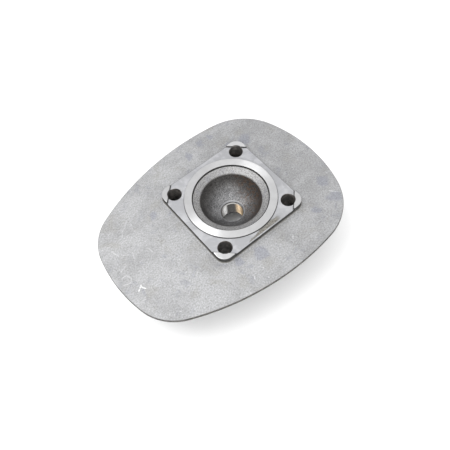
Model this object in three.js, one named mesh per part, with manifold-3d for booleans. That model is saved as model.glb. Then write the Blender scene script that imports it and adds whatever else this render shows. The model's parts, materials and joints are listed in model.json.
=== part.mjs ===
// Cylinder head of a small air-cooled two-stroke engine: a finned aluminium casting and a threaded
// sleeve in its spark plug hole. Millimetres, +Z towards the combustion chamber side. The head lies on
// its fin tips at z = 0, and the origin is in the middle of its outline.

import * as THREE from 'three';
import { mergeVertices } from 'three/addons/utils/BufferGeometryUtils.js';
import Module from 'manifold-3d';

const wasm = await Module();
wasm.setup();

// ---- driving dimensions ------------------------------------------------------------------------------

// Outline of the plate: two end arcs and two side arcs, joined by rounded corners.
const PLATE = {
  wideEnd: 73.1, // x of the wide end
  narrowEnd: -73.1, // x of the narrow end
  halfWidth: 56.3,
  widestX: 13.7, // where the plate is widest
  wideEndRadius: 91,
  narrowEndRadius: 94,
  sideRadius: 161,
  wideCornerRadius: 36,
  narrowCornerRadius: 30,
};

const BORE_X = 10.7; // the cylinder axis stands nearer to the wide end
const BORE_Y = 1.4;

// Heights
const JOINT_Z = 36; // the turned face that meets the cylinder
const PLATE_TOP_Z = 31.5;
const PLATE_BOTTOM_Z = 29;
const RECESS_DEPTH = 0.9; // cast surface around the ring, below the turned face
const NUT_SEAT_Z = 14;
const PLUG_SEAT_Z = 7.7;

// Square flange with its turned ring and corner pads
const FLANGE_HALF = 31.2;
const FLANGE_CORNER_RADIUS = 6;
const RING_OUTER_R = 27.9;
const RING_INNER_R = 23.2;
const PAD_STEP = 37.5; // distance of each pad's step from the cylinder axis, along the diagonal

// Combustion chamber
const SPIGOT_DEPTH = 0.9; // step down from the ring to the squish band
const DOME_EDGE_R = 18.5;
const DOME_EDGE_DEPTH = 3.3;
const DOME_RADIUS = 18.95;
const DOME_CENTRE_DEPTH = -0.8; // the dome's centre lies just above the turned face

// Studs
const STUD_SPACING = 48;
const STUD_HOLE_R = 4.3;
const STUD_BOSS_R = 8.5;
const NUT_WELL_R = 9.8;

// Hub around the chamber, and the plug hole through it
const HUB_ROOT_R = 27.5;
const HUB_MID = { r: 24.5, z: 20 };
const HUB_SHOULDER = { r: 17.5, z: 10 };
const PLUG_BOSS_R = 14.5;
const PLUG_WELL_R = 16.5;
const PLUG_LIP_R = 7.1; // the casting's own opening into the dome
const PLUG_LIP_Z = 18.3; // the lip lies above this height

// Threaded sleeve
const FIT_GAP = 0.3;
const SLEEVE_R = 8;
const SLEEVE_BORE_R = 6.35;
const SLEEVE_CHAMFER = 0.7;
const COLLAR_R = 10.5;
const COLLAR_THICKNESS = 1.6;

// Cooling fins, along X
const FIN_PITCH = 9.5;
const FINS_EACH_SIDE = 5;
const FIN_THICKNESS = 2.4;
const FIN_ROOT_INSET = 1.5; // fins start this far inside the rim of the plate
const FIN_TAPER_SLOPE = 1.2; // fall of the taper for each millimetre in from the rim
const FIN_LEVELS = 7; // points along each tapered end
const FIN_END_LIMIT = 0.98; // a tapered end stops just short of the middle of its fin

const ROUND = 60; // segments of a full turn on the large round features
const HOLE_ROUND = 32;
const OUTLINE_STEPS = 10; // along each arc of the plate's outline
const CORNER_STEPS = 8; // round each corner of the flange
const DOME_STEPS = 10;
const OVERCUT = 2; // cutters run this far past the faces that they cut
const OVERLAP = 1; // joined solids run this far into one another

// ---- solids ------------------------------------------------------------------------------------------

function solid(geometry) {
  const bare = geometry.index ? geometry.toNonIndexed() : geometry.clone();
  bare.deleteAttribute('normal');
  bare.deleteAttribute('uv');
  const merged = mergeVertices(bare, 1e-4);
  return new wasm.Manifold(new wasm.Mesh({
    numProp: 3,
    vertProperties: new Float32Array(merged.attributes.position.array),
    triVerts: new Uint32Array(merged.index.array),
  }));
}

function geometryOf(manifold) {
  const mesh = manifold.getMesh();
  const geometry = new THREE.BufferGeometry();
  geometry.setAttribute('position', new THREE.BufferAttribute(mesh.vertProperties, 3));
  geometry.setIndex(new THREE.BufferAttribute(mesh.triVerts, 1));
  geometry.computeVertexNormals();
  return geometry;
}

// A plain round bar along Z.
function bar(radius, lowZ, highZ, x = BORE_X, y = BORE_Y, segments = HOLE_ROUND) {
  const geometry = new THREE.CylinderGeometry(radius, radius, highZ - lowZ, segments);
  geometry.rotateX(Math.PI / 2);
  geometry.translate(x, y, (lowZ + highZ) / 2);
  return solid(geometry);
}

// A solid of revolution about the cylinder axis, from [radius, z] points listed upwards.
function turned(profile, segments = ROUND) {
  const points = profile.map(([radius, z]) => new THREE.Vector2(radius, z));
  const geometry = new THREE.LatheGeometry(points, segments);
  geometry.rotateX(Math.PI / 2);
  geometry.translate(BORE_X, BORE_Y, 0);
  return solid(geometry);
}

// A flat slab. A full circle in its shape gets ROUND segments, twice the curveSegments.
function slab(shape, lowZ, highZ) {
  const geometry = new THREE.ExtrudeGeometry(shape, {
    depth: highZ - lowZ,
    bevelEnabled: false,
    curveSegments: ROUND / 2,
  });
  geometry.translate(0, 0, lowZ);
  return solid(geometry);
}

// ---- outline of the plate ----------------------------------------------------------------------------

// Centre of a corner that is tangent inside two large arcs, on the +Y side.
function cornerCentre(arcA, arcB, radius) {
  const reachA = arcA.radius - radius;
  const reachB = arcB.radius - radius;
  const between = arcB.centre.clone().sub(arcA.centre);
  const distance = between.length();
  const along = (reachA ** 2 - reachB ** 2 + distance ** 2) / (2 * distance);
  const across = Math.sqrt(reachA ** 2 - along ** 2);
  const unit = between.normalize();
  const foot = arcA.centre.clone().addScaledVector(unit, along);
  const side = new THREE.Vector2(-unit.y, unit.x).multiplyScalar(across);
  const one = foot.clone().add(side);
  const other = foot.clone().sub(side);
  return one.y > other.y ? one : other;
}

// Points of an arc. Where the next arc starts with its last point, that one is left out.
function arc(centre, radius, from, to, steps = OUTLINE_STEPS, withLast = false) {
  return Array.from({ length: withLast ? steps + 1 : steps }, (_, i) => {
    const angle = from + (to - from) * i / steps;
    return new THREE.Vector2(centre.x + radius * Math.cos(angle), centre.y + radius * Math.sin(angle));
  });
}

const flip = (point) => new THREE.Vector2(point.x, -point.y);

// The egg-shaped outline, moved inwards by inset.
function plateOutline(inset = 0) {
  const end = (x, radius) => ({ centre: new THREE.Vector2(x, 0), radius: radius - inset });
  const wide = end(PLATE.wideEnd - PLATE.wideEndRadius, PLATE.wideEndRadius);
  const narrow = end(PLATE.narrowEnd + PLATE.narrowEndRadius, PLATE.narrowEndRadius);
  const side = {
    centre: new THREE.Vector2(PLATE.widestX, PLATE.halfWidth - PLATE.sideRadius),
    radius: PLATE.sideRadius - inset,
  };
  const wideR = PLATE.wideCornerRadius - inset;
  const narrowR = PLATE.narrowCornerRadius - inset;
  const wideCorner = cornerCentre(wide, side, wideR);
  const narrowCorner = cornerCentre(side, narrow, narrowR);

  const bearing = (from, to) => Math.atan2(to.y - from.y, to.x - from.x);
  const wideAngle = bearing(wide.centre, wideCorner);
  const sideStart = bearing(side.centre, wideCorner);
  const sideEnd = bearing(side.centre, narrowCorner);
  const narrowAngle = bearing(narrow.centre, narrowCorner);

  const points = [
    ...arc(wide.centre, wide.radius, -wideAngle, wideAngle),
    ...arc(wideCorner, wideR, wideAngle, sideStart),
    ...arc(side.centre, side.radius, sideStart, sideEnd),
    ...arc(narrowCorner, narrowR, sideEnd, narrowAngle),
    ...arc(narrow.centre, narrow.radius, narrowAngle, 2 * Math.PI - narrowAngle),
    ...arc(flip(narrowCorner), narrowR, -narrowAngle, -sideEnd),
    ...arc(flip(side.centre), side.radius, -sideEnd, -sideStart),
    ...arc(flip(wideCorner), wideR, -sideStart, -wideAngle),
  ];
  return new THREE.Shape(points);
}

// ---- casting -----------------------------------------------------------------------------------------

const CORNERS = [[1, 1], [-1, 1], [-1, -1], [1, -1]];

const STUDS = CORNERS.map(([sx, sy]) => ({
  x: BORE_X + sx * STUD_SPACING / 2,
  y: BORE_Y + sy * STUD_SPACING / 2,
}));

function roundedSquare(half, radius) {
  const inner = half - radius;
  const points = CORNERS.flatMap(([sx, sy], corner) => {
    const centre = new THREE.Vector2(BORE_X + sx * inner, BORE_Y + sy * inner);
    const start = corner * Math.PI / 2;
    return arc(centre, radius, start, start + Math.PI / 2, CORNER_STEPS, true);
  });
  return new THREE.Shape(points);
}

// The lowered cast surface between the ring and the four corner pads.
function recessCutter() {
  const reach = PAD_STEP * Math.SQRT2;
  const shape = new THREE.Shape();
  shape.moveTo(BORE_X + reach, BORE_Y);
  shape.lineTo(BORE_X, BORE_Y + reach);
  shape.lineTo(BORE_X - reach, BORE_Y);
  shape.lineTo(BORE_X, BORE_Y - reach);
  shape.closePath();
  const ring = new THREE.Path();
  ring.absarc(BORE_X, BORE_Y, RING_OUTER_R, 0, 2 * Math.PI, true);
  shape.holes.push(ring);
  return slab(shape, JOINT_Z - RECESS_DEPTH, JOINT_Z + OVERCUT);
}

// Spigot step, squish band, dome and the casting's lip round the plug hole, as one turned cutter.
function chamberCutter() {
  const centreZ = JOINT_Z - DOME_CENTRE_DEPTH;
  const domeTop = Math.asin(PLUG_LIP_R / DOME_RADIUS);
  const domeEdge = Math.asin(DOME_EDGE_R / DOME_RADIUS);
  const profile = [[0, PLUG_LIP_Z - OVERCUT], [PLUG_LIP_R, PLUG_LIP_Z - OVERCUT]];
  for (let i = 0; i <= DOME_STEPS; i++) {
    const angle = domeTop + (domeEdge - domeTop) * i / DOME_STEPS;
    profile.push([DOME_RADIUS * Math.sin(angle), centreZ - DOME_RADIUS * Math.cos(angle)]);
  }
  profile.push([DOME_EDGE_R, JOINT_Z - DOME_EDGE_DEPTH]);
  profile.push([RING_INNER_R, JOINT_Z - SPIGOT_DEPTH]);
  profile.push([RING_INNER_R, JOINT_Z + OVERCUT]);
  profile.push([0, JOINT_Z + OVERCUT]);
  return turned(profile);
}

// Space for the sleeve and its collar, cut from the fin side.
function sleeveBoreCutter() {
  const collarTop = PLUG_SEAT_Z + COLLAR_THICKNESS + FIT_GAP;
  return bar(SLEEVE_R + FIT_GAP, PLUG_SEAT_Z - OVERCUT, PLUG_LIP_Z)
    .add(bar(COLLAR_R + FIT_GAP, PLUG_SEAT_Z - OVERCUT, collarTop));
}

// Lowest and highest x of the outline, moved inwards by inset, along a line of constant y.
function spanAt(y, inset) {
  const points = plateOutline(inset).getPoints();
  const crossings = points.flatMap((from, i) => {
    const to = points[(i + 1) % points.length];
    if ((from.y > y) === (to.y > y)) return [];
    return [from.x + (to.x - from.x) * (y - from.y) / (to.y - from.y)];
  });
  return [Math.min(...crossings), Math.max(...crossings)];
}

// A fin hangs under the plate, and its ends and its depth follow a taper from the rim to the tips.
function fin(y) {
  const outerY = Math.abs(y) + FIN_THICKNESS / 2;
  const roomToRim = PLATE.halfWidth - FIN_ROOT_INSET - outerY;
  const depth = Math.min(PLATE_BOTTOM_Z, roomToRim * FIN_TAPER_SLOPE);
  const lefts = [];
  const rights = [];
  for (let level = 0; level < FIN_LEVELS; level++) {
    const fallen = depth * level / (FIN_LEVELS - 1);
    const inset = FIN_ROOT_INSET + Math.min(fallen / FIN_TAPER_SLOPE, roomToRim * FIN_END_LIMIT);
    const [left, right] = spanAt(outerY, inset);
    lefts.push(new THREE.Vector2(left, PLATE_BOTTOM_Z - fallen));
    rights.push(new THREE.Vector2(right, PLATE_BOTTOM_Z - fallen));
  }
  const rootZ = PLATE_BOTTOM_Z + OVERLAP;
  const roots = [new THREE.Vector2(rights[0].x, rootZ), new THREE.Vector2(lefts[0].x, rootZ)];
  const profile = new THREE.Shape([...roots, ...lefts, ...rights.reverse()]);
  const geometry = new THREE.ExtrudeGeometry(profile, { depth: FIN_THICKNESS, bevelEnabled: false });
  geometry.rotateX(Math.PI / 2);
  geometry.translate(0, y + FIN_THICKNESS / 2, 0);
  return solid(geometry);
}

function fins() {
  let row = fin(0);
  for (let i = 1; i <= FINS_EACH_SIDE; i++) {
    row = row.add(fin(i * FIN_PITCH)).add(fin(-i * FIN_PITCH));
  }
  return row;
}

function headCasting() {
  const hub = turned([
    [0, PLUG_SEAT_Z],
    [PLUG_BOSS_R, PLUG_SEAT_Z],
    [HUB_SHOULDER.r, HUB_SHOULDER.z],
    [HUB_MID.r, HUB_MID.z],
    [HUB_ROOT_R, PLATE_BOTTOM_Z + OVERLAP],
    [0, PLATE_BOTTOM_Z + OVERLAP],
  ]);
  let body = fins().subtract(bar(PLUG_WELL_R, -OVERCUT, PLUG_SEAT_Z, BORE_X, BORE_Y, ROUND));
  body = body.add(hub);
  for (const stud of STUDS) {
    body = body.add(bar(STUD_BOSS_R, NUT_SEAT_Z, PLATE_TOP_Z - OVERLAP, stud.x, stud.y));
    body = body.subtract(bar(NUT_WELL_R, -OVERCUT, NUT_SEAT_Z, stud.x, stud.y));
  }
  body = body.add(slab(plateOutline(), PLATE_BOTTOM_Z, PLATE_TOP_Z));
  const flange = roundedSquare(FLANGE_HALF, FLANGE_CORNER_RADIUS);
  body = body.add(slab(flange, PLATE_TOP_Z - OVERLAP, JOINT_Z));
  body = body.subtract(recessCutter()).subtract(chamberCutter()).subtract(sleeveBoreCutter());
  for (const stud of STUDS) {
    body = body.subtract(bar(STUD_HOLE_R, NUT_SEAT_Z - OVERCUT, JOINT_Z + OVERCUT, stud.x, stud.y));
  }
  return geometryOf(body);
}

// ---- threaded sleeve ---------------------------------------------------------------------------------

function plugThreadSleeve() {
  const topZ = PLUG_LIP_Z - FIT_GAP;
  const mouthR = SLEEVE_BORE_R + SLEEVE_CHAMFER;
  const collarTop = PLUG_SEAT_Z + COLLAR_THICKNESS;
  return geometryOf(turned([
    [mouthR, PLUG_SEAT_Z],
    [COLLAR_R, PLUG_SEAT_Z],
    [COLLAR_R, collarTop],
    [SLEEVE_R, collarTop],
    [SLEEVE_R, topZ],
    [mouthR, topZ],
    [SLEEVE_BORE_R, topZ - SLEEVE_CHAMFER],
    [SLEEVE_BORE_R, PLUG_SEAT_Z + SLEEVE_CHAMFER],
    [mouthR, PLUG_SEAT_Z],
  ], HOLE_ROUND));
}

// ---- the head ----------------------------------------------------------------------------------------

function piece(name, geometry, color, roughness, metalness) {
  const mesh = new THREE.Mesh(geometry, new THREE.MeshStandardMaterial({ color, roughness, metalness }));
  mesh.name = name;
  return mesh;
}

const head = new THREE.Group();
head.add(piece('head_casting', headCasting(), 0xb9bbbe, 0.55, 0.9));
head.add(piece('spark_plug_thread_insert', plugThreadSleeve(), 0xb39a74, 0.35, 1.0));

export default head;
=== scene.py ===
"""A bare two-stroke cylinder head, lying on its cooling fins with the combustion chamber upwards.

The head is modelled in millimetres, and each finished piece is brought to metres at the end.
"""

import json
import math

import bmesh
import bpy
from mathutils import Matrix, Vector


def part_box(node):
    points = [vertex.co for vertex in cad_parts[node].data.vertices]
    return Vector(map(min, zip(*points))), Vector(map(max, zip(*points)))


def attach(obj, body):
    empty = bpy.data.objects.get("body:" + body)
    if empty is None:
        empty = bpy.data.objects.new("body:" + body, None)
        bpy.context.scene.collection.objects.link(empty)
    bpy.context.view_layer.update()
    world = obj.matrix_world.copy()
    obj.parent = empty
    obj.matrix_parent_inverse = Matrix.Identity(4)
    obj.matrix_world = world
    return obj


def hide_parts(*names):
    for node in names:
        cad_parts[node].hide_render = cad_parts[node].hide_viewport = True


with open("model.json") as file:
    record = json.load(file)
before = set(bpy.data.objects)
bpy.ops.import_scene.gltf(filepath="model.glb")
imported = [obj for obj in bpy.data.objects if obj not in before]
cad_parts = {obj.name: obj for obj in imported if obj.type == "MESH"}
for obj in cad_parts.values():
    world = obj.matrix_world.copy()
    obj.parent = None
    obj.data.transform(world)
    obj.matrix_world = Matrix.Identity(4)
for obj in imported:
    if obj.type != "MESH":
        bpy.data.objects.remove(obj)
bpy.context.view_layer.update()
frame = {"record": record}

MM = 0.001

# ---- places and sizes from the frame, in millimetres ---------------------------------------------

head_low, head_high = (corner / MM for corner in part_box("head_casting"))
sleeve_low, sleeve_high = (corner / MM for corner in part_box("spark_plug_thread_insert"))
bore = Vector(((sleeve_low.x + sleeve_high.x) / 2, (sleeve_low.y + sleeve_high.y) / 2, 0))
mounts = {mount["name"]: Vector(mount["pos_m"]) / MM for mount in frame["record"]["mounts"]}
openings = {
    opening["name"]: [Vector(corner) / MM for corner in opening["box_m"]]
    for opening in frame["record"]["physics"]["openings"]
}
studs = []
for name, (corner, other) in openings.items():
    if name.startswith("stud_hole"):
        studs.append(Vector(((corner.x + other.x) / 2, (corner.y + other.y) / 2, 0)))

JOINT_Z = head_high.z
NUT_SEAT_Z = mounts["nut_seat_wide_end_left"].z
PLUG_SEAT_Z = sleeve_low.z
FLANGE_HEIGHT = 4.5
PLATE_THICKNESS = 2.5
RECESS_DEPTH = 0.9
PLATE_TOP_Z = JOINT_Z - FLANGE_HEIGHT
PLATE_BOTTOM_Z = PLATE_TOP_Z - PLATE_THICKNESS
RECESS_Z = JOINT_Z - RECESS_DEPTH

# ---- the maker's other sizes, in millimetres -----------------------------------------------------

WIDEST_X = 13.7
WIDE_END_RADIUS = 91
NARROW_END_RADIUS = 94
SIDE_RADIUS = 161
WIDE_CORNER_RADIUS = 36
NARROW_CORNER_RADIUS = 30
RIM_ROUNDING = 0.5

FLANGE_HALF = 31.2
FLANGE_CORNER_RADIUS = 6
FLANGE_REACH = 45
FLANGE_FILLET = 1.4
RING_OUTER_R = 27.9
RING_INNER_R = 23.2
RELIEF_WIDTH = 0.6
RELIEF_DEPTH = 0.35
PAD_STEP = 37.5
PAD_DIAMOND = PAD_STEP * math.sqrt(2)
PAD_END_ROUNDING = 1.2
EDGE_BREAK = 0.22

DOME_EDGE_R = 18.5
DOME_EDGE_Z = JOINT_Z - 3.3
DOME_RADIUS = 18.95
DOME_CENTRE_Z = JOINT_Z + 0.8
PLUG_LIP_R = 7.1
PLUG_LIP_Z = 18.3
PLUG_LIP_BEVEL = 0.75

STUD_HOLE_R = 4.3
STUD_BOSS_R = 8.5
NUT_WELL_R = 9.8

PLUG_BOSS_R = 14.5
PLUG_WELL_R = 16.5
SLEEVE_R = 8.0
FIT_GAP = 0.3
WELL_PAST_SEAT = 0.15
COLLAR_R = 10.5
COLLAR_THICKNESS = 1.6

FIN_PITCH = 9.5
FINS_EACH_SIDE = 5
FIN_THICKNESS = 2.4
FIN_TIP_THICKNESS = 2.0
FIN_ROOT_INSET = 1.5
FIN_TAPER_SLOPE = 1.2
FIN_LEVELS = 11
FIN_ROUNDING = 0.6
FIN_ROOT_FILLET = 1.1
FIN_CORNER_ROUNDING = 3.0
FIN_END_SHARE = 0.98
FILLET_STEPS = 4

THREAD_PITCH = 1.25
THREAD_MINOR_R = 6.35
THREAD_MAJOR_R = 7.02
FLANK_SHARE = 0.37

TURN_STEPS = 160
HOLE_STEPS = 64
DOME_STEPS = 40
OVERCUT = 2.0
SMOOTH_BELOW = 32
MERGE = 1e-4
WELD = 0.009
LEVEL_GAP = 0.001


# ---- modelling, as at the bench ------------------------------------------------------------------

def only(obj):
    """Makes obj the one selected and active object, in object mode."""
    if bpy.context.object and bpy.context.object.mode != "OBJECT":
        bpy.ops.object.mode_set(mode="OBJECT")
    bpy.ops.object.select_all(action="DESELECT")
    obj.select_set(True)
    bpy.context.view_layer.objects.active = obj
    return obj


def pen(start):
    """A new mesh of one point, in edit mode, that lines and arcs are drawn from."""
    bpy.ops.object.select_all(action="DESELECT")
    bpy.ops.mesh.primitive_plane_add(size=2, location=(0, 0, 0))
    obj = bpy.context.object
    bpy.ops.object.mode_set(mode="EDIT")
    bpy.ops.mesh.select_mode(type="VERT")
    mesh = bmesh.from_edit_mesh(obj.data)
    mesh.verts.ensure_lookup_table()
    for vert in mesh.verts:
        vert.select = vert.index != 0
    mesh.select_flush_mode()
    bmesh.update_edit_mesh(obj.data)
    bpy.ops.mesh.delete(type="VERT")
    bpy.ops.mesh.select_all(action="SELECT")
    mesh = bmesh.from_edit_mesh(obj.data)
    mesh.verts.ensure_lookup_table()
    bpy.ops.transform.translate(value=Vector(start) - mesh.verts[0].co)
    return obj


def draw_line(step):
    bpy.ops.mesh.extrude_region_move(TRANSFORM_OT_translate={"value": step})


def draw_arc(centre, angle, steps, axis=(0, 0, 1)):
    bpy.ops.mesh.spin(steps=steps, angle=-angle, center=centre, axis=axis)


def draw_points(points):
    """A line through points, the first of which starts it."""
    obj = pen(points[0])
    for here, after in zip(points, points[1:]):
        draw_line(Vector(after) - Vector(here))
    return obj


def raise_outline(depth):
    """Closes the drawn outline, fills it and gives it a depth along Z."""
    bpy.ops.mesh.select_all(action="SELECT")
    bpy.ops.mesh.remove_doubles(threshold=MERGE * 10)
    bpy.ops.mesh.select_all(action="SELECT")
    bpy.ops.mesh.edge_face_add()
    bpy.ops.mesh.extrude_region_move(TRANSFORM_OT_translate={"value": depth})
    bpy.ops.mesh.select_all(action="SELECT")
    bpy.ops.mesh.normals_make_consistent(inside=False)
    bpy.ops.object.mode_set(mode="OBJECT")


def turn(profile, centre=bore, steps=TURN_STEPS):
    """A solid of revolution from (radius, z) points, which end on the axis or close on themselves."""
    obj = draw_points([(centre.x + radius, centre.y, z) for radius, z in profile])
    bpy.ops.mesh.select_all(action="SELECT")
    bpy.ops.mesh.spin(steps=steps, angle=2 * math.pi, center=(centre.x, centre.y, 0), axis=(0, 0, 1))
    bpy.ops.mesh.select_all(action="SELECT")
    bpy.ops.mesh.remove_doubles(threshold=MERGE)
    bpy.ops.mesh.select_all(action="SELECT")
    bpy.ops.mesh.normals_make_consistent(inside=False)
    bpy.ops.object.mode_set(mode="OBJECT")
    return obj


def apply(obj, kind, **settings):
    """Adds a modifier and applies it."""
    only(obj)
    modifier = obj.modifiers.new(kind.lower(), kind)
    for key, value in settings.items():
        setattr(modifier, key, value)
    bpy.ops.object.modifier_apply(modifier=modifier.name)
    return obj


def combine(obj, tool, operation):
    apply(obj, "BOOLEAN", operation=operation, object=tool, solver="EXACT")
    bpy.data.objects.remove(tool, do_unlink=True)
    return obj


def select_edges(obj, rule):
    """Enters edit mode with the edges that rule(edge) picks."""
    only(obj)
    bpy.ops.object.mode_set(mode="EDIT")
    bpy.ops.mesh.select_all(action="DESELECT")
    bpy.ops.mesh.select_mode(type="EDGE")
    mesh = bmesh.from_edit_mesh(obj.data)
    mesh.normal_update()
    for edge in mesh.edges:
        if rule(edge):
            edge.select = True
    bmesh.update_edit_mesh(obj.data)


def middle(edge):
    return (edge.verts[0].co + edge.verts[1].co) / 2


def sharp(edge, degrees=35):
    return len(edge.link_faces) == 2 and edge.calc_face_angle() > math.radians(degrees)


def level(edge, z, reach=0.01):
    return all(abs(vert.co.z - z) < reach for vert in edge.verts)


def from_bore(point):
    return math.hypot(point.x - bore.x, point.y - bore.y)


def soften(obj, rule, width, segments=3):
    """Bevels the edges that rule picks, as a round of that width."""
    select_edges(obj, rule)
    bpy.ops.mesh.bevel(offset=width, offset_type="OFFSET", segments=segments, profile=0.5,
                       affect="EDGES", clamp_overlap=False, loop_slide=True)
    bpy.ops.object.mode_set(mode="OBJECT")
    return obj


def in_triangles(obj):
    """Cuts the faces into triangles, which stay flat, so that cuts through them leave no gaps."""
    only(obj)
    bpy.ops.object.mode_set(mode="EDIT")
    bpy.ops.mesh.select_all(action="SELECT")
    bpy.ops.mesh.quads_convert_to_tris(quad_method="BEAUTY", ngon_method="BEAUTY")
    bpy.ops.object.mode_set(mode="OBJECT")
    return obj


def mend(obj):
    """Welds the slivers that the cuts leave and closes any gap along them."""
    only(obj)
    bpy.ops.object.mode_set(mode="EDIT")
    bpy.ops.mesh.select_mode(type="VERT")
    bpy.ops.mesh.select_all(action="SELECT")
    bpy.ops.mesh.remove_doubles(threshold=WELD)
    bpy.ops.mesh.select_all(action="SELECT")
    bpy.ops.mesh.dissolve_degenerate(threshold=WELD)
    bpy.ops.mesh.select_all(action="DESELECT")
    bpy.ops.mesh.select_non_manifold(extend=False, use_wire=True, use_boundary=True,
                                     use_multi_face=False, use_non_contiguous=False, use_verts=False)
    bpy.ops.mesh.fill_holes(sides=0)
    bpy.ops.mesh.select_all(action="SELECT")
    bpy.ops.mesh.normals_make_consistent(inside=False)
    bpy.ops.object.mode_set(mode="OBJECT")
    return obj


def finish_piece(obj, name):
    """Brings a piece from millimetres to metres, with its place in its mesh, and names it."""
    only(obj)
    obj.scale = (MM, MM, MM)
    bpy.ops.object.transform_apply(location=True, rotation=True, scale=True)
    obj.name = name
    obj.data.name = name
    return obj


# ---- the outline of the plate --------------------------------------------------------------------

def corner_centre(centre_a, reach_a, centre_b, reach_b):
    """The point on the +Y side that lies reach_a from one centre and reach_b from the other."""
    between = centre_b - centre_a
    distance = between.length
    along = (reach_a ** 2 - reach_b ** 2 + distance ** 2) / (2 * distance)
    across = math.sqrt(reach_a ** 2 - along ** 2)
    unit = between.normalized()
    foot_shadow = centre_a + unit * along
    side = Vector((-unit.y, unit.x, 0)) * across
    return max(foot_shadow + side, foot_shadow - side, key=lambda point: point.y)


def plate_arcs(inset):
    """The outline moved inwards by inset: (centre, radius, from angle, to angle) of each arc in turn."""
    wide = Vector((head_high.x - WIDE_END_RADIUS, 0, 0))
    narrow = Vector((head_low.x + NARROW_END_RADIUS, 0, 0))
    side = Vector((WIDEST_X, head_high.y - SIDE_RADIUS, 0))
    wide_corner = corner_centre(wide, WIDE_END_RADIUS - WIDE_CORNER_RADIUS,
                                side, SIDE_RADIUS - WIDE_CORNER_RADIUS)
    narrow_corner = corner_centre(side, SIDE_RADIUS - NARROW_CORNER_RADIUS,
                                  narrow, NARROW_END_RADIUS - NARROW_CORNER_RADIUS)

    def bearing(origin, target):
        return math.atan2(target.y - origin.y, target.x - origin.x)

    a = bearing(wide, wide_corner)
    b = bearing(side, wide_corner)
    c = bearing(side, narrow_corner)
    d = bearing(narrow, narrow_corner)
    upper = [(wide_corner, WIDE_CORNER_RADIUS, a, b), (side, SIDE_RADIUS, b, c),
             (narrow_corner, NARROW_CORNER_RADIUS, c, d)]
    lower = [(Vector((centre.x, -centre.y, 0)), radius, -end, -start)
             for centre, radius, start, end in reversed(upper)]
    arcs = [(wide, WIDE_END_RADIUS, -a, a), *upper, (narrow, NARROW_END_RADIUS, d, 2 * math.pi - d), *lower]
    return [(centre, radius - inset, start, end) for centre, radius, start, end in arcs]


def arc_point(centre, radius, angle, z):
    return Vector((centre.x + radius * math.cos(angle), centre.y + radius * math.sin(angle), z))


def draw_plate_outline(z, inset=0.0, spacing=1.6):
    arcs = plate_arcs(inset)
    centre, radius, start, _ = arcs[0]
    obj = pen(arc_point(centre, radius, start, z))
    for centre, radius, start, end in arcs:
        steps = max(4, round(radius * (end - start) / spacing))
        draw_arc((centre.x, centre.y, z), end - start, steps)
    return obj


def span_at(y, inset):
    """Lowest and highest x of the outline, moved inwards by inset, along a line of constant y."""
    found = []
    for centre, radius, start, end in plate_arcs(inset):
        rise = y - centre.y
        if abs(rise) >= radius:
            continue
        for angle in (math.asin(rise / radius), math.pi - math.asin(rise / radius)):
            for turned in (angle, angle + 2 * math.pi, angle - 2 * math.pi):
                if start - 1e-9 <= turned <= end + 1e-9:
                    found.append(centre.x + radius * math.cos(turned))
    return min(found), max(found)


# ---- the head casting ----------------------------------------------------------------------------

def plate():
    obj = draw_plate_outline(PLATE_BOTTOM_Z)
    raise_outline((0, 0, PLATE_TOP_Z - PLATE_BOTTOM_Z))
    return soften(obj, sharp, RIM_ROUNDING, 3)


def flange():
    """The square block under the ring, its corners rounded."""
    inner = FLANGE_HALF - FLANGE_CORNER_RADIUS
    low = PLATE_TOP_Z - 1
    obj = pen((bore.x + FLANGE_HALF, bore.y + inner, low))
    for corner, (sx, sy) in enumerate([(1, 1), (-1, 1), (-1, -1), (1, -1)]):
        draw_arc((bore.x + sx * inner, bore.y + sy * inner, low), math.pi / 2, 12)
        heading = math.pi / 2 * (corner + 2)
        draw_line((2 * inner * math.cos(heading), 2 * inner * math.sin(heading), 0))
    raise_outline((0, 0, JOINT_Z - low))
    return obj


def recess_tool():
    """What lowers the cast surface between the ring and the corner pads: a diamond with a round hole."""
    points = [(bore.x + PAD_DIAMOND, bore.y, RECESS_Z), (bore.x, bore.y + PAD_DIAMOND, RECESS_Z),
              (bore.x - PAD_DIAMOND, bore.y, RECESS_Z), (bore.x, bore.y - PAD_DIAMOND, RECESS_Z)]
    obj = draw_points(points)
    raise_outline((0, 0, OVERCUT))
    ring = turn([(0, RECESS_Z - OVERCUT), (RING_OUTER_R, RECESS_Z - OVERCUT),
                 (RING_OUTER_R, JOINT_Z + 2 * OVERCUT), (0, JOINT_Z + 2 * OVERCUT)])
    return combine(obj, ring, "DIFFERENCE")


def pad_end(edge):
    """The short upright edges where a pad's step meets the side of the flange."""
    here = middle(edge)
    upright = abs(edge.verts[0].co.z - edge.verts[1].co.z) > 0.5
    across = max(abs(here.x - bore.x), abs(here.y - bore.y))
    along = min(abs(here.x - bore.x), abs(here.y - bore.y))
    on_side = abs(across - FLANGE_HALF) < 0.01 and along < FLANGE_HALF - FLANGE_CORNER_RADIUS
    return upright and here.z > RECESS_Z and on_side


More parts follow.
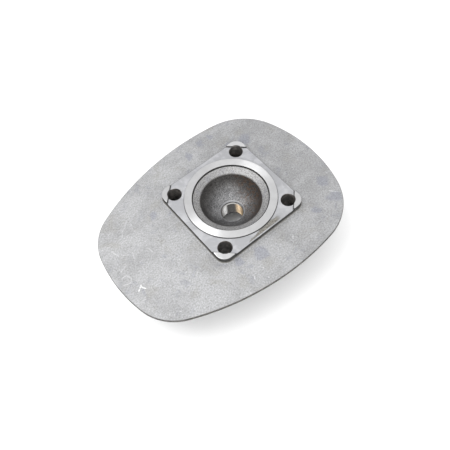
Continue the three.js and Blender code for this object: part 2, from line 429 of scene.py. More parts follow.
def fin_profile(y):
    """The side view of a fin as points, root first, with the ends sloping in and the tip corners rounded."""
    outer_y = abs(y) + FIN_THICKNESS / 2
    room = head_high.y - FIN_ROOT_INSET - outer_y
    depth = min(PLATE_BOTTOM_Z, room * FIN_TAPER_SLOPE)
    near = y - FIN_THICKNESS / 2
    lefts, rights = [], []
    for step in range(FIN_LEVELS):
        fallen = depth * step / (FIN_LEVELS - 1)
        left, right = span_at(outer_y, FIN_ROOT_INSET + min(fallen / FIN_TAPER_SLOPE, room * FIN_END_SHARE))
        lefts.append(Vector((left, near, PLATE_BOTTOM_Z - fallen)))
        rights.append(Vector((right, near, PLATE_BOTTOM_Z - fallen)))
    lift = Vector((0, 0, OVERCUT * 0.3))
    left_end = [*lefts[:-1], *rounded(lefts[-2], lefts[-1], rights[-1], FIN_CORNER_ROUNDING)]
    right_end = [*rounded(lefts[-1], rights[-1], rights[-2], FIN_CORNER_ROUNDING), *reversed(rights[:-1])]
    return [rights[0] + lift, lefts[0] + lift, *left_end, *right_end]


def rounded(before, corner, after, radius, steps=5):
    """Points of a round that replaces a corner."""
    to_before = (before - corner).normalized()
    to_after = (after - corner).normalized()
    half = to_before.angle(to_after) / 2
    reach = min(radius / math.tan(half), 0.45 * (before - corner).length, 0.45 * (after - corner).length)
    start, end = corner + to_before * reach, corner + to_after * reach
    points = []
    for step in range(steps + 1):
        t = step / steps
        points.append(start * (1 - t) ** 2 + corner * (2 * t * (1 - t)) + end * t ** 2)
    return points


def fin(y):
    """One cooling fin: a slab with rounded edges, then drafted and filleted by widening it in levels."""
    obj = draw_points(fin_profile(y))
    raise_outline((0, FIN_THICKNESS, 0))
    soften(obj, lambda edge: sharp(edge, 40) and middle(edge).z < PLATE_BOTTOM_Z - 0.05, FIN_ROUNDING, 3)
    only(obj)
    bpy.ops.object.mode_set(mode="EDIT")
    fillet = []
    for step in range(FILLET_STEPS + 1):
        angle = math.pi / 2 * step / FILLET_STEPS
        fillet.append((PLATE_BOTTOM_Z - FIN_ROOT_FILLET * math.sin(angle),
                       FIN_ROOT_FILLET * (1 - math.sin(math.acos(1 - math.sin(angle))))))
    for z, _ in fillet:
        bpy.ops.mesh.select_all(action="SELECT")
        bpy.ops.mesh.bisect(plane_co=(0, 0, z), plane_no=(0, 0, 1))
    bpy.ops.mesh.select_mode(type="VERT")
    heights = sorted(vert.co.z for vert in bmesh.from_edit_mesh(obj.data).verts)
    levels = [heights[0]] + [after for here, after in zip(heights, heights[1:]) if after - here > LEVEL_GAP]
    for z, above in zip(levels, levels[1:] + [math.inf]):
        mesh = bmesh.from_edit_mesh(obj.data)
        for vert in mesh.verts:
            vert.select = z - LEVEL_GAP / 2 < vert.co.z < above - LEVEL_GAP / 2
        mesh.select_flush_mode()
        bmesh.update_edit_mesh(obj.data)
        share = min(1.0, max(0.0, z / PLATE_BOTTOM_Z))
        thickness = FIN_TIP_THICKNESS + (FIN_THICKNESS + 0.4 - FIN_TIP_THICKNESS) * share
        for top, flare in fillet:
            if abs(top - z) < 0.01 or (z > PLATE_BOTTOM_Z and top == fillet[0][0]):
                thickness += 2 * flare
        bpy.ops.transform.resize(value=(1, thickness / FIN_THICKNESS, 1), center_override=(0, y, z))
    bpy.ops.object.mode_set(mode="OBJECT")
    return obj


def fins():
    """All the fins as one body, with the wells for the plug and the nuts cut from them."""
    rows = [fin(0)]
    for number in range(1, FINS_EACH_SIDE + 1):
        rows += [fin(number * FIN_PITCH), fin(-number * FIN_PITCH)]
    only(rows[0])
    for row in rows:
        row.select_set(True)
    bpy.ops.object.join()
    obj = in_triangles(rows[0])
    wells = [(bore, PLUG_WELL_R, PLUG_SEAT_Z)] + [(stud, NUT_WELL_R, NUT_SEAT_Z) for stud in studs]
    for centre, radius, seat_z in wells:
        top = seat_z + WELL_PAST_SEAT
        well = turn([(0, -OVERCUT), (radius + 0.53, -OVERCUT), (radius + 0.53, -0.13), (radius, 0.47),
                     (radius, top - 0.8), (radius - 0.25, top - 0.2), (radius - 0.8, top), (0, top)],
                    centre, HOLE_STEPS)
        combine(obj, well, "DIFFERENCE")
    return obj


def hub():
    """The wall round the chamber, narrowing to the plug boss."""
    return turn([
        (0, PLUG_SEAT_Z), (PLUG_BOSS_R - 0.6, PLUG_SEAT_Z), (PLUG_BOSS_R - 0.2, PLUG_SEAT_Z + 0.2),
        (PLUG_BOSS_R, PLUG_SEAT_Z + 0.6), (17.5, 10), (20.4, 13), (22.8, 16.5), (24.5, 20),
        (25.8, 24), (26.4, 27), (26.9, 28.3), (28.2, PLATE_BOTTOM_Z), (28.2, PLATE_BOTTOM_Z + 1),
        (0, PLATE_BOTTOM_Z + 1)])


def stud_boss(centre):
    return turn([
        (0, NUT_SEAT_Z), (STUD_BOSS_R - 0.5, NUT_SEAT_Z), (STUD_BOSS_R - 0.15, NUT_SEAT_Z + 0.15),
        (STUD_BOSS_R, NUT_SEAT_Z + 0.5), (STUD_BOSS_R + 0.3, PLATE_BOTTOM_Z - 1.2),
        (STUD_BOSS_R + 0.7, PLATE_BOTTOM_Z - 0.35), (STUD_BOSS_R + 1.5, PLATE_BOTTOM_Z),
        (STUD_BOSS_R + 1.5, PLATE_BOTTOM_Z + 0.8), (0, PLATE_BOTTOM_Z + 0.8)], centre, HOLE_STEPS)


def chamber_tool():
    """Spigot step, squish band, dome and the lip round the plug hole, in one turned profile."""
    lip_angle = math.asin((PLUG_LIP_R + PLUG_LIP_BEVEL) / DOME_RADIUS)
    edge_angle = math.asin((DOME_EDGE_R - 0.1) / DOME_RADIUS)
    lip_top = DOME_CENTRE_Z - DOME_RADIUS * math.cos(lip_angle)
    profile = [(0, PLUG_LIP_Z - OVERCUT), (PLUG_LIP_R, PLUG_LIP_Z - OVERCUT),
               (PLUG_LIP_R, lip_top - PLUG_LIP_BEVEL)]
    for step in range(DOME_STEPS + 1):
        angle = lip_angle + (edge_angle - lip_angle) * step / DOME_STEPS
        profile.append((DOME_RADIUS * math.sin(angle), DOME_CENTRE_Z - DOME_RADIUS * math.cos(angle)))
    groove_r = RING_INNER_R - RELIEF_WIDTH
    groove_z = RECESS_Z - RELIEF_DEPTH
    profile += [
        (DOME_EDGE_R + 0.02, DOME_EDGE_Z - 0.25), (DOME_EDGE_R + 0.16, DOME_EDGE_Z - 0.04),
        (DOME_EDGE_R + 0.4, DOME_EDGE_Z + 0.14), (groove_r - 0.05, RECESS_Z - 0.12),
        (groove_r + 0.05, groove_z - 0.1), (RING_INNER_R - 0.1, groove_z - 0.1),
        (RING_INNER_R, groove_z), (RING_INNER_R, JOINT_Z - 0.16),
        (RING_INNER_R + 0.05, JOINT_Z - 0.05), (RING_INNER_R + 0.16, JOINT_Z),
        (RING_INNER_R + 0.16, JOINT_Z + OVERCUT), (0, JOINT_Z + OVERCUT)]
    return turn(profile)


def stud_tool(centre):
    """A stud hole, with a small chamfer at each end."""
    return turn([
        (0, NUT_SEAT_Z - OVERCUT), (STUD_HOLE_R + 0.35, NUT_SEAT_Z - OVERCUT),
        (STUD_HOLE_R + 0.35, NUT_SEAT_Z), (STUD_HOLE_R, NUT_SEAT_Z + 0.35),
        (STUD_HOLE_R, RECESS_Z - 0.12), (STUD_HOLE_R + 0.12, RECESS_Z),
        (STUD_HOLE_R + 0.12, JOINT_Z + OVERCUT), (0, JOINT_Z + OVERCUT)], centre, HOLE_STEPS)


def sleeve_tool():
    """Room for the threaded sleeve and its collar, cut from the fin side."""
    bore_r, collar_r = SLEEVE_R + FIT_GAP, COLLAR_R + FIT_GAP
    collar_top = PLUG_SEAT_Z + COLLAR_THICKNESS + FIT_GAP
    return turn([
        (0, PLUG_SEAT_Z - OVERCUT), (collar_r + 0.2, PLUG_SEAT_Z - OVERCUT), (collar_r + 0.2, PLUG_SEAT_Z),
        (collar_r, PLUG_SEAT_Z + 0.2), (collar_r, collar_top), (bore_r, collar_top),
        (bore_r, PLUG_LIP_Z), (0, PLUG_LIP_Z)])


def flange_foot(edge):
    return level(edge, PLATE_TOP_Z) and sharp(edge) and from_bore(middle(edge)) < FLANGE_REACH


def milled_edge(edge):
    return sharp(edge) and middle(edge).z > RECESS_Z - 0.05


def head_casting():
    """The casting: plate and flange first, then what hangs under them, then the cuts."""
    obj = combine(plate(), flange(), "UNION")
    soften(obj, flange_foot, FLANGE_FILLET, 6)
    combine(obj, recess_tool(), "DIFFERENCE")
    soften(obj, pad_end, PAD_END_ROUNDING, 4)
    soften(obj, milled_edge, EDGE_BREAK, 2)
    in_triangles(obj)
    combine(obj, hub(), "UNION")
    for stud in studs:
        combine(obj, stud_boss(stud), "UNION")
    combine(obj, fins(), "UNION")
    combine(obj, chamber_tool(), "DIFFERENCE")
    combine(obj, sleeve_tool(), "DIFFERENCE")
    for stud in studs:
        combine(obj, stud_tool(stud), "DIFFERENCE")
    return mend(obj)


# ---- the threaded sleeve -------------------------------------------------------------------------

def thread_tool():
    """A rod with the thread's form, as a tap leaves it: one V, screwed upwards and closed at both ends."""
    low, high = sleeve_low.z - OVERCUT, sleeve_high.z + OVERCUT
    turns = math.ceil((high - low) / THREAD_PITCH) + 2
    flank = THREAD_PITCH * FLANK_SHARE
    start = low - THREAD_PITCH
    core = THREAD_MINOR_R - 0.1
    crest_end = THREAD_PITCH - flank
    form = [(core, 0), (THREAD_MAJOR_R, flank), (THREAD_MAJOR_R, crest_end), (core, THREAD_PITCH)]
    obj = draw_points([(radius, 0, start + rise) for radius, rise in form])
    bpy.ops.object.mode_set(mode="OBJECT")
    apply(obj, "SCREW", angle=2 * math.pi, steps=HOLE_STEPS, render_steps=HOLE_STEPS, iterations=turns,
          screw_offset=THREAD_PITCH, axis="Z", use_merge_vertices=True, merge_threshold=MERGE)
    only(obj)
    bpy.ops.object.mode_set(mode="EDIT")
    bpy.ops.mesh.select_all(action="SELECT")
    bpy.ops.mesh.remove_doubles(threshold=MERGE * 10)
    for z, upper in ((high, True), (low, False)):
        bpy.ops.mesh.select_all(action="SELECT")
        bpy.ops.mesh.bisect(plane_co=(0, 0, z), plane_no=(0, 0, 1), use_fill=True,
                            clear_outer=upper, clear_inner=not upper)
    bpy.ops.mesh.select_all(action="SELECT")
    bpy.ops.mesh.normals_make_consistent(inside=False)
    bpy.ops.transform.translate(value=bore)
    bpy.ops.object.mode_set(mode="OBJECT")
    return obj


def thread_sleeve():
    """The plug sleeve: a turned body with a collar, tapped right through."""
    low, high = sleeve_low.z, sleeve_high.z
    collar_top = low + COLLAR_THICKNESS
    mouth = THREAD_MAJOR_R + 0.06
    body = turn([
        (mouth, low), (COLLAR_R - 0.2, low), (COLLAR_R, low + 0.2), (COLLAR_R, collar_top - 0.15),
        (COLLAR_R - 0.15, collar_top), (SLEEVE_R, collar_top), (SLEEVE_R, high - 0.15),
        (SLEEVE_R - 0.15, high), (mouth, high), (THREAD_MINOR_R, high - 0.6),
        (THREAD_MINOR_R, low + 0.6), (mouth, low)])
    return combine(body, thread_tool(), "DIFFERENCE")


# ---- shaders -------------------------------------------------------------------------------------

class Shader:
    """A material and its nodes. Places are object coordinates, in millimetres."""

    def __init__(self, name):
        self.material = bpy.data.materials.new(name)
        self.material.use_nodes = True
        self.tree = self.material.node_tree
        self.surface = self.tree.nodes["Principled BSDF"]
        coordinates = self.tree.nodes.new("ShaderNodeTexCoord")
        self.place = self.vector("MULTIPLY", coordinates.outputs["Object"], (1 / MM,) * 3)

    def feed(self, socket, value):
        if isinstance(value, bpy.types.NodeSocket):
            self.tree.links.new(value, socket)
        else:
            socket.default_value = value

    def math(self, operation, first, second=0.0, third=0.0):
        node = self.tree.nodes.new("ShaderNodeMath")
        node.operation = operation
        for socket, value in zip(node.inputs, (first, second, third)):
            self.feed(socket, value)
        return node.outputs["Value"]

    def vector(self, operation, first, second=(0, 0, 0)):
        node = self.tree.nodes.new("ShaderNodeVectorMath")
        node.operation = operation
        self.feed(node.inputs[0], first)
        self.feed(node.inputs[1], second)
        return node.outputs["Value" if operation in ("LENGTH", "DOT_PRODUCT", "DISTANCE") else "Vector"]

    def split(self, vector):
        node = self.tree.nodes.new("ShaderNodeSeparateXYZ")
        self.feed(node.inputs[0], vector)
        return node.outputs

    def noise(self, size, detail=2.0, roughness=0.5, distortion=0.0, stretch=(1, 1, 1), shift=(0, 0, 0)):
        """Noise between 0 and 1 whose largest patches are about size across."""
        node = self.tree.nodes.new("ShaderNodeTexNoise")
        spot = self.vector("MULTIPLY", self.vector("ADD", self.place, shift), stretch)
        self.feed(node.inputs["Vector"], spot)
        node.inputs["Scale"].default_value = 1 / size
        node.inputs["Detail"].default_value = detail
        node.inputs["Roughness"].default_value = roughness
        node.inputs["Distortion"].default_value = distortion
        return node.outputs[0]

    def scaled(self, colour, factor):
        node = self.tree.nodes.new("ShaderNodeVectorMath")
        node.operation = "SCALE"
        self.feed(node.inputs[0], colour)
        self.feed(node.inputs["Scale"], factor)
        return node.outputs["Vector"]

    def product(self, first, second):
        return self.math("MULTIPLY", first, second)

    def outward(self):
        """The level offset from the bore axis."""
        return self.vector("MULTIPLY", self.vector("SUBTRACT", self.place, bore), (1, 1, 0))

    def patch(self, centre, radius, wander):
        """1 in an uneven round patch of the XY plane, fading to 0 at its edge."""
        flat = self.vector("MULTIPLY", self.vector("ADD", self.place, wander), (1, 1, 0))
        off = self.vector("DISTANCE", flat, (*centre, 0))
        return self.ramp(off, radius * 0.55, radius * 1.05, 1.0, 0.0)

    def stroke(self, start, end, width):
        """1 on a short mark between two points of the XY plane, 0 away from it."""
        along = Vector((end[0] - start[0], end[1] - start[1], 0))
        flat = self.vector("MULTIPLY", self.place, (1, 1, 0))
        from_start = self.vector("SUBTRACT", flat, (start[0], start[1], 0))
        share = self.math("DIVIDE", self.vector("DOT_PRODUCT", from_start, along), along.length_squared)
        node = self.tree.nodes.new("ShaderNodeClamp")
        self.feed(node.inputs[0], share)
        nearest = self.scaled(along, node.outputs[0])
        off = self.vector("LENGTH", self.vector("SUBTRACT", from_start, nearest))
        return self.ramp(off, width * 0.2, width, 1.0, 0.0)

    def wander(self, size, reach):
        """An offset in millimetres that varies from place to place."""
        node = self.tree.nodes.new("ShaderNodeTexNoise")
        self.feed(node.inputs["Vector"], self.place)
        node.inputs["Scale"].default_value = 1 / size
        node.inputs["Detail"].default_value = 3
        centred = self.vector("SUBTRACT", node.outputs["Color"], (0.5, 0.5, 0.5))
        return self.scaled(centred, reach * 2)

    def ramp(self, value, start, end, low=0.0, high=1.0):
        node = self.tree.nodes.new("ShaderNodeMapRange")
        node.interpolation_type = "SMOOTHSTEP"
        for socket, setting in zip(node.inputs, (value, start, end, low, high)):
            self.feed(socket, setting)
        return node.outputs["Result"]

    def mix(self, factor, first, second):
        node = self.tree.nodes.new("ShaderNodeMix")
        node.data_type = "RGBA"
        self.feed(node.inputs["Factor"], factor)
        colours = [socket for socket in node.inputs if socket.type == "RGBA"]
        for socket, value in zip(colours, (first, second)):
            self.feed(socket, value if isinstance(value, bpy.types.NodeSocket) else (*value, 1))
        return next(socket for socket in node.outputs if socket.type == "RGBA")

    def bump(self, height, depth_mm, strength=1.0):
        node = self.tree.nodes.new("ShaderNodeBump")
        node.inputs["Strength"].default_value = strength
        node.inputs["Distance"].default_value = depth_mm * MM
        self.feed(node.inputs["Height"], height)
        previous = self.surface.inputs["Normal"].links
        if previous:
            self.feed(node.inputs["Normal"], previous[0].from_socket)
        self.feed(self.surface.inputs["Normal"], node.outputs["Normal"])

    def set(self, **settings):
        for name, value in settings.items():
            socket = self.surface.inputs[name.replace("_", " ").title().replace("Ior", "IOR")]
            if socket.type == "RGBA" and not isinstance(value, bpy.types.NodeSocket):
                value = (*value, 1)
            self.feed(socket, value)
        return self


# Sides of the bore, as directions in the XY plane: the near side, where painted shade is laid; the side
# browned by the fire; and the axis along which a painted reflection lies in the plug bore.
SHADED_NEAR_SIDE = (-0.56, -0.83, 0)
BROWN_SIDE = (0.77, -0.30, 0)
PAINTED_REFLECTION_AXIS = (0.77, -0.63, 0)

# Bright nicks in the plate: from, to, width and strength.
NICKS = [
    ((-65.3, -10.4), (-62.4, -8.3), 0.55, 0.75), ((-62.4, -8.3), (-62.7, -9.6), 0.5, 0.6),
    ((-62.7, -9.6), (-61.5, -11.6), 0.55, 0.75), ((-60.6, -32.8), (-60.0, -32.6), 0.55, 0.3),
    ((-58.9, -34.3), (-58.4, -34.4), 0.5, 0.3), ((-55.0, -35.0), (-54.4, -35.4), 0.5, 0.3),
    ((22.0, -40.6), (20.7, -42.1), 0.45, 0.38), ((-4.3, -44.5), (-4.0, -44.9), 0.5, 0.4),
    ((-5.8, -51.0), (-5.6, -51.3), 0.5, 0.4), ((-11.3, -45.5), (-12.1, -46.9), 0.5, 0.4),
    ((-68.4, 2.0), (-65.4, 2.3), 0.6, 0.22), ((-65.4, 2.3), (-64.4, -0.3), 0.55, 0.2),
    ((-66.4, 6.0), (-62.1, 7.2), 0.6, 0.2), ((-63.2, 20.1), (-62.0, 15.6), 0.6, 0.25),
    ((-51.0, 27.9), (-53.1, 24.3), 0.6, 0.22), ((59.0, -32.5), (62.3, -36.4), 0.5, 0.3),
    ((-54.5, 11.5), (-56.5, 6.5), 0.6, 0.16), ((-46.0, 8.5), (-45.0, 4.0), 0.5, 0.14),
    ((-70.0, -2.0), (-66.5, -3.2), 0.5, 0.25), ((-66.0, -3.4), (-64.0, -1.0), 0.5, 0.2),
    ((-60.0, 14.0), (-57.0, 12.5), 0.5, 0.16), ((-35.0, -24.0), (-32.5, -22.0), 0.5, 0.14),
]

# Bluish stains on the plate: middle and radius.
STAINS = [
    ((47.0, 31.5), 5.0), ((37.0, 17.5), 3.4), ((60.8, -24.5), 4.4), ((58.3, -38.0), 5.0),
    ((0.7, -37.0), 5.2), ((23.5, 49.0), 3.2), ((31.8, 47.5), 2.6), ((36.3, 36.5), 1.6),
    ((12.0, 45.0), 3.0), ((-11.5, -33.5), 3.0), ((38.5, 8.0), 2.4), ((44.0, -37.0), 3.2),
    ((-31.0, 24.0), 3.6),
]


def cast_look():
    """As-cast aluminium: pale grey with bluish and warm patches, a fine grain and a few bright nicks."""
    s = Shader("cast_aluminium")
    broad = s.noise(22, 3, 0.6, 0.6)
    cloud = s.noise(9, 4, 0.62, 0.9, shift=(40, 0, 0))
    blotch = s.noise(7, 3, 0.55, 1.2, shift=(-25, 60, 0))
    grain = s.noise(0.9, 3, 0.7)
    fine = s.noise(0.35, 2, 0.6)
    colour = s.mix(s.ramp(broad, 0.38, 0.62), (0.214, 0.215, 0.218), (0.266, 0.268, 0.272))
    colour = s.mix(s.product(s.ramp(cloud, 0.40, 0.68), 0.6), colour, (0.298, 0.300, 0.305))
    colour = s.mix(s.product(s.ramp(blotch, 0.58, 0.70), 0.5), colour, (0.180, 0.185, 0.207))
    warm = s.ramp(s.noise(12, 3, 0.6, 0.5, shift=(7, -33, 5)), 0.52, 0.7)
    colour = s.mix(s.product(warm, 0.5), colour, (0.212, 0.208, 0.196))
    wander = s.wander(5, 4)
    stained = 0.0
    for centre, radius in STAINS:
        stained = s.math("MAXIMUM", stained, s.patch(centre, radius, wander))
    colour = s.mix(s.product(stained, 0.55), colour, (0.168, 0.175, 0.208))
    colour = s.scaled(colour, s.math("MULTIPLY_ADD", grain, 1.66, 0.155))
    pits = s.noise(1.6, 2, 0.5, shift=(5, 71, 3))
    colour = s.scaled(colour, s.ramp(pits, 0.26, 0.33, 0.72, 1.0))
    # Painted shade: the whole plate darkens steadily towards the +X end.
    colour = s.scaled(colour, s.ramp(s.split(s.place)["X"], head_low.x, head_high.x, 1.02, 0.87))
    worn = 0.0
    for start, end, width, strength in NICKS:
        worn = s.math("MAXIMUM", worn, s.product(s.stroke(start, end, width), strength))
    worn = s.product(worn, s.ramp(s.noise(0.8, 2), 0.25, 0.5))
    worn = s.product(worn, s.ramp(s.split(s.place)["Z"], PLATE_TOP_Z - 0.6, PLATE_TOP_Z - 0.1))
    colour = s.mix(worn, colour, (0.60, 0.60, 0.60))
    s.set(base_color=colour, metallic=0.35, roughness=s.ramp(cloud, 0.3, 0.7, 0.55, 0.68))
    s.bump(grain, 0.10, 0.55)
    s.bump(fine, 0.04, 0.4)
    s.bump(cloud, 0.25, 0.3)
    return s.material


def wall_look():
    """Upright cast and turned edges, steps and grooves, painted dark grey as shade."""
    s = Shader("painted_shade_walls")
    # Painted shade: every upright wall is given a dark grey.
    colour = s.mix(s.ramp(s.noise(2.5, 3, 0.6), 0.35, 0.7), (0.018, 0.018, 0.017), (0.045, 0.044, 0.042))
    height = s.split(s.place)["Z"]
    # Painted shadow: a brownish tone on the fillet at the foot of the flange, fading out towards the plate.
    foot_shadow = s.product(s.ramp(height, PLATE_TOP_Z - 0.1, PLATE_TOP_Z + 0.05),
                     s.ramp(height, PLATE_TOP_Z + 1.5, PLATE_TOP_Z + 0.3))
    raw = s.ramp(s.noise(1.2, 3, 0.6), 0.35, 0.65)
    colour = s.mix(foot_shadow, colour, s.mix(raw, (0.125, 0.119, 0.106), (0.200, 0.194, 0.180)))
    # Painted shade: the plate's rim wall, below the plate top, is darkened.
    rim = s.ramp(height, PLATE_TOP_Z + 0.05, PLATE_TOP_Z - 0.1)
    rim_shade_mottle = s.ramp(s.noise(2.0, 3, 0.6), 0.35, 0.7)
    colour = s.mix(rim, colour, s.mix(rim_shade_mottle, (0.040, 0.038, 0.035), (0.100, 0.097, 0.092)))
    s.set(base_color=colour, metallic=0.2, roughness=0.7)
    s.bump(s.noise(0.8, 3), 0.1, 0.5)
    return s.material


def recess_look():
    """The milled surface between ring and pads, and the raw cast strip that the tool has missed."""
    s = Shader("milled_recess")
    cloud = s.noise(8, 3, 0.6, 0.8, shift=(12, 5, 0))
    colour = s.mix(s.ramp(cloud, 0.4, 0.66), (0.236, 0.238, 0.247), (0.302, 0.304, 0.315))
    bluish = s.ramp(s.noise(5, 3, 0.6, 1.0, shift=(-8, 31, 0)), 0.56, 0.7)
    colour = s.mix(s.product(bluish, 0.4), colour, (0.225, 0.227, 0.255))
    spot = s.split(s.vector("SUBTRACT", s.place, bore))
    ragged = s.product(s.math("SUBTRACT", s.noise(2.0, 3), 0.5), 2.2)
    inner = s.math("SUBTRACT", s.ramp(spot["X"], -16, 4, -30.7, -27.6), ragged)
    raw = s.ramp(s.math("SUBTRACT", inner, spot["Y"]), -0.25, 0.45)
    raw = s.product(raw, s.ramp(spot["Y"], -30.7, -30.3))
    raw = s.product(raw, s.ramp(spot["X"], -15, -12))
    raw = s.product(raw, s.ramp(s.math("ADD", spot["X"], ragged), 13.5, 9.5))
    rough = s.noise(0.9, 3, 0.7)
    raw_cast = s.mix(s.ramp(rough, 0.35, 0.65), (0.072, 0.068, 0.060), (0.190, 0.182, 0.164))
    colour = s.mix(raw, colour, raw_cast)
    # Painted shade: a dark line on the milled surface at the foot of the ring, strongest on the near side.
    outward = s.outward()
    ring_foot_shade = s.ramp(s.vector("LENGTH", outward), RING_OUTER_R + 0.45, RING_OUTER_R + 0.15)
    facing = s.vector("DOT_PRODUCT", s.vector("NORMALIZE", outward), SHADED_NEAR_SIDE)
    near_side_shade = s.product(ring_foot_shade, s.ramp(facing, -0.6, 0.3, 0.25, 0.9))
    colour = s.mix(near_side_shade, colour, (0.030, 0.029, 0.028))
    # Painted shade: a dark line along the foot of each pad's step.
    steps_off = s.math("ADD", s.math("ABSOLUTE", spot["X"]), s.math("ABSOLUTE", spot["Y"]))
    step_line = s.ramp(steps_off, PAD_DIAMOND - 1.1, PAD_DIAMOND - 0.5, 0.0, 0.9)
    colour = s.mix(step_line, colour, (0.025, 0.025, 0.025))
    # Painted shadow: a dark line along the two far edges of the flange (+X and +Y).
    margin = s.ramp(s.math("MAXIMUM", spot["X"], spot["Y"]), FLANGE_HALF - 0.5, FLANGE_HALF - 0.3, 0.0, 0.55)
    colour = s.mix(margin, colour, (0.060, 0.060, 0.062))
    s.set(base_color=colour, metallic=0.55, roughness=0.5)
    s.bump(s.noise(0.7, 2), 0.05, 0.4)
    s.bump(s.product(raw, rough), 0.3, 0.8)
    return s.material


def turned_look():
    """Faces left by the lathe: fine rings round the bore axis that spread the light across them."""
    s = Shader("turned_face")
    outward = s.outward()
    s.feed(s.surface.inputs["Tangent"], s.vector("NORMALIZE", outward))
    cloud = s.noise(6, 3, 0.6, shift=(3, 14, 0))
    colour = s.mix(s.ramp(cloud, 0.35, 0.7), (0.370, 0.370, 0.374), (0.402, 0.402, 0.406))
    s.set(base_color=colour, metallic=1.0, roughness=0.30, anisotropic=1.0)
    return s.material


def squish_look():
    """The squish band: turned, then dulled and speckled by the fire."""
    s = Shader("squish_band")
    speck = s.noise(0.6, 3, 0.7)
    colour = s.mix(s.ramp(speck, 0.36, 0.58), (0.118, 0.116, 0.115), (0.262, 0.260, 0.259))
    cloud = s.noise(4, 3, 0.6, 0.6, shift=(9, 2, 0))
    colour = s.mix(s.product(s.ramp(cloud, 0.5, 0.7), 0.5), colour, (0.140, 0.142, 0.165))
    outward = s.outward()
    reach = s.math("ADD", s.vector("LENGTH", outward), s.product(s.noise(0.9, 2), 1.2))
    colour = s.mix(s.ramp(reach, DOME_EDGE_R + 1.5, DOME_EDGE_R + 0.3), colour, (0.050, 0.046, 0.042))
    s.set(base_color=colour, metallic=0.6, roughness=0.5)
    s.bump(speck, 0.04, 0.35)
    return s.material


def dome_look():
    """The combustion chamber: soot and oil coke, brown towards one side, with painted shade towards its edge
    and on its near side.
    """
    s = Shader("sooty_dome")
    cloud = s.noise(6, 3, 0.6, 0.3, shift=(3, 2, 9))
    speck = s.noise(0.75, 3, 0.75)
    colour = s.mix(s.ramp(cloud, 0.35, 0.65), (0.108, 0.108, 0.111), (0.176, 0.176, 0.179))
    from_axis = s.vector("SUBTRACT", s.place, bore)
    radius = s.vector("LENGTH", s.vector("MULTIPLY", from_axis, (1, 1, 0)))
    # Painted shade: darker towards the dome's steep edge.
    colour = s.mix(s.ramp(radius, 10.0, DOME_EDGE_R, 0.0, 0.85), colour, (0.042, 0.039, 0.036))
    # Painted shade: darker on the near side of the dome.
    near = s.vector("DOT_PRODUCT", from_axis, SHADED_NEAR_SIDE)
    colour = s.scaled(colour, s.ramp(near, -4, 13, 1.0, 0.55))
    across = s.vector("DOT_PRODUCT", from_axis, BROWN_SIDE)
    colour = s.scaled(colour, s.ramp(across, 3, 13, 1.0, 0.72))
    brown = s.product(s.ramp(across, 2, 12), s.ramp(s.noise(1.6, 4, 0.75), 0.45, 0.60))
    colour = s.mix(s.product(brown, 0.75), colour, (0.080, 0.045, 0.026))
    colour = s.scaled(colour, s.math("MULTIPLY_ADD", speck, 4.0, -1.0))
    lip_edge = PLUG_LIP_R + PLUG_LIP_BEVEL
    lip = s.product(s.ramp(radius, PLUG_LIP_R + 0.02, PLUG_LIP_R + 0.12),
                    s.ramp(radius, lip_edge + 0.15, lip_edge - 0.1))
    colour = s.mix(s.product(lip, 0.8), colour, (0.260, 0.262, 0.272))
    s.set(base_color=colour, metallic=0.45, roughness=0.5)
    s.bump(speck, 0.10, 0.5)
    return s.material


def hole_look():
    """The stud holes: drilled, their walls painted dark as shade."""
    s = Shader("painted_shade_hole")
    colour = s.mix(s.ramp(s.noise(3, 3, 0.6), 0.35, 0.7), (0.064, 0.062, 0.060), (0.170, 0.156, 0.145))
    s.set(base_color=colour, metallic=0.4, roughness=0.4)
    return s.material


def seat_look():
    """Spot-faced seats on the fin side."""
    s = Shader("spot_faced_seat")
    s.set(base_color=(0.50, 0.50, 0.506), metallic=1.0, roughness=0.34)
    s.bump(s.noise(1.0, 2), 0.01, 0.4)
    return s.material


def bronze_look():
    """The plug sleeve: bronze, and in its bore a painted reflection, pale on one side and dark across the
    middle, with painted shade on the near side and in the thread roots, a painted highlight on the crests,
    and grey at the top.
    """
    s = Shader("bronze_sleeve")
    colour = s.mix(s.ramp(s.noise(2.5, 3, 0.6), 0.35, 0.7), (0.220, 0.165, 0.108), (0.300, 0.232, 0.155))
    off_axis = s.outward()
    depth = s.vector("LENGTH", off_axis)
    outward = s.vector("NORMALIZE", off_axis)
    # Painted reflection in the bore: bronze on one side, dark across the middle, a pale strip on the other
    # side.
    across = s.vector("DOT_PRODUCT", outward, PAINTED_REFLECTION_AXIS)
    bore_bronze_and_painted_light = s.mix(s.ramp(across, 0.55, 0.15), colour, (0.060, 0.058, 0.056))
    bore_bronze_and_painted_light = s.mix(s.ramp(across, -0.45, -0.68), bore_bronze_and_painted_light, (0.480, 0.480, 0.475))
    # Painted shade on the near side of the bore.
    near_side_shade = s.vector("DOT_PRODUCT", outward, SHADED_NEAR_SIDE)
    bore_bronze_and_painted_light = s.mix(s.ramp(near_side_shade, 0.35, 0.6), bore_bronze_and_painted_light, (0.050, 0.049, 0.048))
    # Painted shade in the thread roots and a painted highlight on the crests.
    bore_bronze_and_painted_light = s.scaled(bore_bronze_and_painted_light, s.ramp(depth, THREAD_MINOR_R + 0.12, THREAD_MAJOR_R - 0.1, 1.25, 0.12))
    lip = s.ramp(s.split(s.place)["Z"], sleeve_high.z - 0.7, sleeve_high.z - 0.55)
    bore_bronze_and_painted_light = s.mix(lip, bore_bronze_and_painted_light, (0.300, 0.296, 0.290))
    colour = s.mix(s.ramp(depth, THREAD_MAJOR_R + 0.15, THREAD_MAJOR_R + 0.05), colour, bore_bronze_and_painted_light)
    s.set(base_color=colour, metallic=1.0, roughness=0.30)
    s.bump(s.noise(0.6, 2), 0.01, 0.4)
    return s.material


# ---- which face has which look -------------------------------------------------------------------

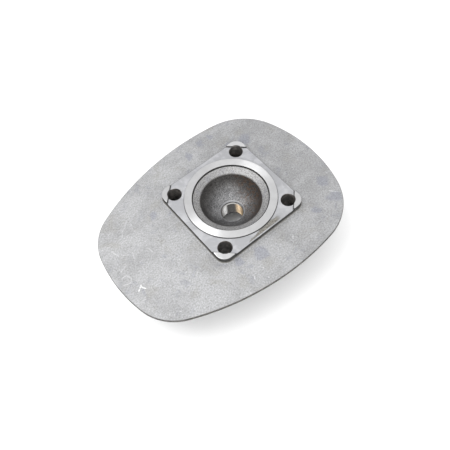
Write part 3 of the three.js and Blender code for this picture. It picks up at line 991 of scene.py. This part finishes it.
def head_face_look(centre, normal):
    """The name of the look of a face of the casting, from where it is and which way it faces."""
    radius = from_bore(centre)
    reach = min(math.hypot(centre.x - stud.x, centre.y - stud.y) for stud in studs)
    between_faces = NUT_SEAT_Z + 0.02 < centre.z < JOINT_Z - 0.02
    if reach < STUD_HOLE_R + 0.3 and normal.z < 0.9 and between_faces:
        return "hole"
    if normal.z < -0.95 and reach < STUD_BOSS_R and abs(centre.z - NUT_SEAT_Z) < 0.05:
        return "seat"
    if normal.z < -0.95 and radius < PLUG_BOSS_R and abs(centre.z - PLUG_SEAT_Z) < 0.05:
        return "seat"
    if radius < DOME_EDGE_R + 0.05 and centre.z > PLUG_LIP_Z + 0.01 and normal.z > -0.2:
        return "dome"
    if RING_INNER_R - RELIEF_WIDTH - 0.03 < radius < RING_INNER_R and centre.z > DOME_EDGE_Z:
        return "wall"
    if radius < RING_INNER_R - 0.03 and centre.z > DOME_EDGE_Z - 0.4:
        return "squish"
    if centre.z > JOINT_Z - EDGE_BREAK and normal.z > 0.35 and radius > RING_INNER_R:
        return "turned"
    if centre.z > RECESS_Z - 0.05 and normal.z < 0.8:
        return "wall"
    if centre.z > RECESS_Z - EDGE_BREAK and normal.z > 0.3:
        return "recess"
    if centre.z > PLATE_BOTTOM_Z + 0.02 and abs(normal.z) < 0.75 and radius > RING_OUTER_R:
        return "wall"
    return "cast"


def paint(obj, looks, rule):
    """Cuts the faces into triangles, whose middles lie on them, and gives each the look that rule names."""
    in_triangles(obj)
    order = list(looks)
    for material in looks.values():
        obj.data.materials.append(material)
    for face in obj.data.polygons:
        face.material_index = order.index(rule(face.center, face.normal))


casting = head_casting()
paint(casting, {
    "cast": cast_look(), "wall": wall_look(), "recess": recess_look(), "turned": turned_look(),
    "squish": squish_look(), "dome": dome_look(), "hole": hole_look(), "seat": seat_look(),
}, head_face_look)
finish_piece(casting, "finned_head_casting")
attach(casting, "root")
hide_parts("head_casting")

sleeve = thread_sleeve()
sleeve.data.materials.append(bronze_look())
finish_piece(sleeve, "threaded_plug_sleeve")
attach(sleeve, "root")
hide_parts("spark_plug_thread_insert")

for piece in (casting, sleeve):
    only(piece)
    bpy.ops.object.shade_smooth_by_angle(angle=math.radians(SMOOTH_BELOW))
    apply(piece, "WEIGHTED_NORMAL", keep_sharp=True)

# ---- floor, light and camera ---------------------------------------------------------------------

bpy.ops.object.select_all(action="DESELECT")
bpy.ops.mesh.primitive_plane_add(size=4, location=(0, 0, 0))
floor = bpy.context.object
floor.name = "studio_floor"
paper = bpy.data.materials.new("white_paper")
paper.use_nodes = True
paper.node_tree.nodes["Principled BSDF"].inputs["Base Color"].default_value = (0.68, 0.68, 0.68, 1)
paper.node_tree.nodes["Principled BSDF"].inputs["Roughness"].default_value = 0.9
floor.data.materials.append(paper)

camera_data = bpy.data.cameras.new("camera")
camera_data.sensor_width = 36
camera_data.lens = 43.19
camera_data.clip_start = 0.01
camera = bpy.data.objects.new("camera", camera_data)
bpy.context.scene.collection.objects.link(camera)
bpy.context.scene.camera = camera
camera.location = (-0.08853, -0.14394, 0.30403)
camera.rotation_euler = [math.radians(angle) for angle in (30.112, 3.952, -39.273)]

world = bpy.data.worlds.new("studio")
bpy.context.scene.world = world
world.use_nodes = True
world.node_tree.nodes["Background"].inputs["Color"].default_value = (1, 1, 1, 1)
world.node_tree.nodes["Background"].inputs["Strength"].default_value = 1.05


def softbox(name, place, size, turn_degrees, radiance):
    """A rectangular light, facing straight down and turned by so many degrees."""
    light = bpy.data.lights.new(name, "AREA")
    light.shape = "RECTANGLE"
    light.size, light.size_y = size
    light.energy = radiance * math.pi * size[0] * size[1]
    lamp = bpy.data.objects.new(name, light)
    lamp.location = place
    lamp.rotation_euler = (0, 0, math.radians(turn_degrees))
    bpy.context.scene.collection.objects.link(lamp)
    return lamp


softbox("ceiling", (0.0, 0.0, 1.4), (2.6, 2.6), 0, 0.88)
softbox("key", (-0.432, 0.335, 1.036), (0.70, 0.68), 41.2, 5.3)
fill = softbox("fill", (-0.595, -0.883, 0.746), (1.2, 0.8), 0, 3.2)
fill.rotation_euler = (-fill.location).to_track_quat("-Z", "Y").to_euler()
bpy.context.scene.view_settings.view_transform = "Standard"
